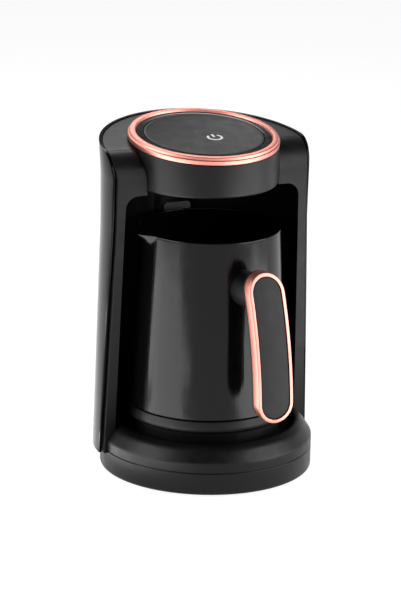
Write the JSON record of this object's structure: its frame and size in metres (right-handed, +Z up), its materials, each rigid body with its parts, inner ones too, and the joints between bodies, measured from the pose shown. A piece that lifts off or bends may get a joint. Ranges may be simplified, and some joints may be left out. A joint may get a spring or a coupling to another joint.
{
  "type": "electric turkish coffee maker",
  "caption": "Electric turkish coffee maker: round base with a C-shaped column, a push button on the sloping head, and a lift-out pot with a long upright handle.",
  "frame": {"origin": "on the worktop, on the upright axis of the round base and of the seated pot", "axes": "+Z up, -Y towards the front (the pot's handle), +X to the right seen from the front"},
  "size_m": [0.171, 0.1899, 0.2606],
  "materials": {
    "satin_black": "fine satin moulded ABS",
    "gloss_black": "polished moulded ABS",
    "matte_black": "fine matte moulded plastic",
    "rose_gold": "brushed, rose-gold anodised",
    "pot_enamel": "gloss coated drawn steel",
    "rubber": "soft moulded rubber",
    "zinc_steel": "zinc plated",
    "brass": "plain",
    "cast_aluminium": "cast",
    "circuit_board": "solder mask",
    "pale_plastic": "moulded nylon",
    "smoke_lens": "polished smoke-grey window",
    "wire_sleeve": "sleeved wires"
  },
  "bodies": {
    "machine": {"base_lower_ring": "satin_black", "base_plate": "satin_black", "foot_ring": "rubber", "base_screws": "zinc_steel", "base_top": "satin_black", "pot_seat": "satin_black", "contact_socket": "gloss_black", "contact_pins": "brass", "power_board": "circuit_board", "board_screws": "zinc_steel", "power_relay": "gloss_black", "capacitors": "gloss_black", "terminal_block": "pale_plastic", "board_connector": "pale_plastic", "cord_grommet": "rubber", "column_frame": "satin_black", "back_shell": "gloss_black", "skin_screws": "zinc_steel", "column_screws": "zinc_steel", "top_cover": "satin_black", "sensor_window": "smoke_lens", "sensor_board": "circuit_board", "head_drum": "satin_black", "drum_screws": "zinc_steel", "head_underside": "satin_black", "trim_ring": "rose_gold", "top_bezel": "gloss_black", "button_spring": "zinc_steel", "control_board": "circuit_board", "control_screws": "zinc_steel", "tact_switch": "gloss_black", "buzzer": "gloss_black", "head_connector": "pale_plastic", "wire_harness": "wire_sleeve"},
    "button": {"power_button": "matte_black"},
    "pot": {"pot_body": "pot_enamel", "pot_collar": "satin_black", "pot_bottom_cover": "satin_black", "pot_screws": "zinc_steel", "contact_disc": "pale_plastic", "contact_rings": "brass", "heater_plate": "cast_aluminium", "thermostat": "cast_aluminium", "handle_trim": "rose_gold", "handle_grip": "matte_black", "handle_back": "matte_black", "handle_boss": "satin_black", "handle_stud": "zinc_steel", "handle_screw": "zinc_steel"}
  },
  "joints": [
    {"name": "button_press", "type": "slide", "parent": "machine", "child": "button", "axis": [0, 0.1201, -0.9928], "range_m": [0, 0.0012], "stiffness_N_per_m": 1500, "springref_m": -0.0006, "deforming": ["button_spring"]},
    {"name": "pot_lift_out", "type": "slide", "parent": "machine", "child": "pot", "axis": [0, -0.9744, 0.225], "range_m": [0, 0.17]}
  ]
}
